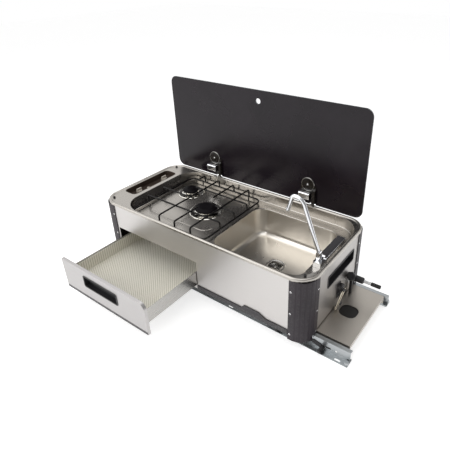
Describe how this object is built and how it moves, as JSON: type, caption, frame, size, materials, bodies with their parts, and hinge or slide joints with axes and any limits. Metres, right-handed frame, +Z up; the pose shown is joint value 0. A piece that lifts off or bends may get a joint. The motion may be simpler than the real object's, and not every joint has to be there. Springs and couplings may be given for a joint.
{
  "type": "campervan kitchen pod",
  "caption": "Slide-out steel galley box on telescopic floor slides, with sink, gas hob, folding glass lid, folding tap and a shallow drawer",
  "frame": {"origin": "on the van floor, under the middle of the pod, in the middle of the centre cross strap", "axes": "+X along the pod towards the latch end, +Y to the back where the lid is hinged, +Z up"},
  "size_m": [1.022, 0.6536, 0.654],
  "materials": {
    "steel": "brushed",
    "tray_steel": "brushed",
    "zinc": "zinc plated",
    "chrome": "polished",
    "brass": "plain",
    "dark_metal": "powder coated",
    "black_enamel": "enamelled",
    "black_plastic": "moulded",
    "liner": "ribbed",
    "smoked_glass": "polished"
  },
  "bodies": {
    "slide_base": {"slide_outer_front": "zinc", "slide_outer_rear": "zinc", "cross_frame": "zinc"},
    "slide_middle": {"slide_mid_front": "zinc", "slide_mid_rear": "zinc"},
    "drawer": {"drawer_box": "steel", "drawer_front": "steel", "drawer_pull": "black_plastic", "drawer_mat": "liner"},
    "runner_middle": {"runner_mid_left": "zinc", "runner_mid_right": "zinc"},
    "lid": {"lid_glass": "smoked_glass", "hinge_arm_left": "dark_metal", "hinge_arm_right": "dark_metal", "hinge_block_left": "chrome", "hinge_block_right": "chrome"},
    "tap_turn": {"tap_swivel": "chrome"},
    "spout": {"tap_spout": "chrome"},
    "tap_handle": {"tap_lever": "chrome"},
    "front_knob": {"knob_front": "black_plastic"},
    "rear_knob": {"knob_rear": "black_plastic"},
    "igniter": {"igniter_button": "black_plastic"},
    "grid": {"pan_support": "black_enamel"},
    "gas_knob": {"shutoff_knob": "black_plastic"},
    "latch_handle": {"latch_lever": "dark_metal"},
    "bail": {"latch_bail": "chrome"},
    "lever_inner": {"lock_lever_inner": "black_plastic"},
    "lever_outer": {"lock_lever_outer": "black_plastic"},
    "carriage": {"front_panel": "steel", "back_panel": "steel", "left_end_panel": "steel", "right_end_panel": "steel", "floor_panel": "steel", "worktop": "steel", "sink_bowl": "steel", "control_pocket": "steel", "base_tray": "tray_steel", "slide_inner_front": "zinc", "slide_inner_rear": "zinc", "sink_strainer": "chrome", "burner_body_rear": "chrome", "burner_body_front": "chrome", "tap_base": "chrome", "hinge_base_left": "chrome", "hinge_base_right": "chrome", "hose_tail": "chrome", "gas_manifold": "brass", "corner_post_front_left": "dark_metal", "corner_post_front_right": "dark_metal", "corner_post_back_left": "dark_metal", "corner_post_back_right": "dark_metal", "bottom_trim": "dark_metal", "latch_base": "dark_metal", "burner_cap_rear": "black_enamel", "burner_cap_front": "black_enamel", "end_pull_left": "black_plastic", "end_pull_right": "black_plastic", "shutoff_body": "black_plastic", "sink_waste": "black_plastic"}
  },
  "joints": [
    {"name": "carriage_slide", "type": "slide", "parent": "slide_base", "child": "carriage", "axis": [1, 0, 0], "range_m": [0, 0.45]},
    {"name": "slide_middle_slide", "type": "slide", "parent": "slide_base", "child": "slide_middle", "axis": [1, 0, 0], "range_m": [0, 0.225]},
    {"name": "drawer_slide", "type": "slide", "parent": "carriage", "child": "drawer", "axis": [0, -1, 0], "range_m": [-0.235, 0.07]},
    {"name": "runner_middle_slide", "type": "slide", "parent": "carriage", "child": "runner_middle", "axis": [0, -1, 0], "range_m": [-0.1175, 0.035]},
    {"name": "lid_hinge", "type": "hinge", "parent": "carriage", "child": "lid", "pos_m": [0, 0.193, 0.2775], "axis": [-1, 0, 0], "range_deg": [-90, 0]},
    {"name": "tap_swivel_turn", "type": "hinge", "parent": "carriage", "child": "tap_turn", "pos_m": [0.398, -0.0505, 0.2476], "axis": [0, 0, 1], "range_deg": [0, 60]},
    {"name": "tap_fold", "type": "hinge", "parent": "tap_turn", "child": "spout", "pos_m": [0.398, -0.0505, 0.268], "axis": [0, 1, 0], "range_deg": [-70, 0]},
    {"name": "tap_lever_lift", "type": "hinge", "parent": "carriage", "child": "tap_handle", "pos_m": [0.402, -0.033, 0.2415], "axis": [1, 0, 0], "range_deg": [0, 30]},
    {"name": "knob_front_turn", "type": "hinge", "parent": "carriage", "child": "front_knob", "pos_m": [-0.401, -0.06, 0.2413], "axis": [0, 0, 1], "range_deg": [0, 210]},
    {"name": "knob_rear_turn", "type": "hinge", "parent": "carriage", "child": "rear_knob", "pos_m": [-0.401, 0.075, 0.2413], "axis": [0, 0, 1], "range_deg": [0, 210]},
    {"name": "igniter_push", "type": "slide", "parent": "carriage", "child": "igniter", "axis": [0, 0, -1], "range_m": [0, 0.003], "stiffness_N_per_m": 300},
    {"name": "pan_support_lift", "type": "slide", "parent": "carriage", "child": "grid", "axis": [0, 0, 1], "range_m": [0, 0.06]},
    {"name": "shutoff_turn", "type": "hinge", "parent": "carriage", "child": "gas_knob", "pos_m": [0.4635, 0.07084, 0.12925], "axis": [0, -0.7694, 0.6388], "range_deg": [0, 90]},
    {"name": "latch_lever_swing", "type": "hinge", "parent": "carriage", "child": "latch_handle", "pos_m": [0.458, 0.008, 0.128], "axis": [0, -1, 0], "range_deg": [0, 120]},
    {"name": "latch_bail_swing", "type": "hinge", "parent": "latch_handle", "child": "bail", "pos_m": [0.4655, 0.008, 0.116], "axis": [0, -1, 0], "range_deg": [0, 60]},
    {"name": "lock_lever_inner_lift", "type": "hinge", "parent": "slide_base", "child": "lever_inner", "pos_m": [0.298, -0.1536, 0.0215], "axis": [0, -1, 0], "range_deg": [0, 14], "stiffness_Nm_per_rad": 0.3},
    {"name": "lock_lever_outer_lift", "type": "hinge", "parent": "slide_base", "child": "lever_outer", "pos_m": [0.452, -0.1536, 0.0215], "axis": [0, -1, 0], "range_deg": [0, 14], "stiffness_Nm_per_rad": 0.3}
  ],
  "couplings": [
    {"joint": "slide_middle_slide", "follows": "carriage_slide", "ratio": 0.5},
    {"joint": "runner_middle_slide", "follows": "drawer_slide", "ratio": 0.5},
    {"joint": "tap_fold", "follows": "lid_hinge", "ratio": 0.7777}
  ]
}
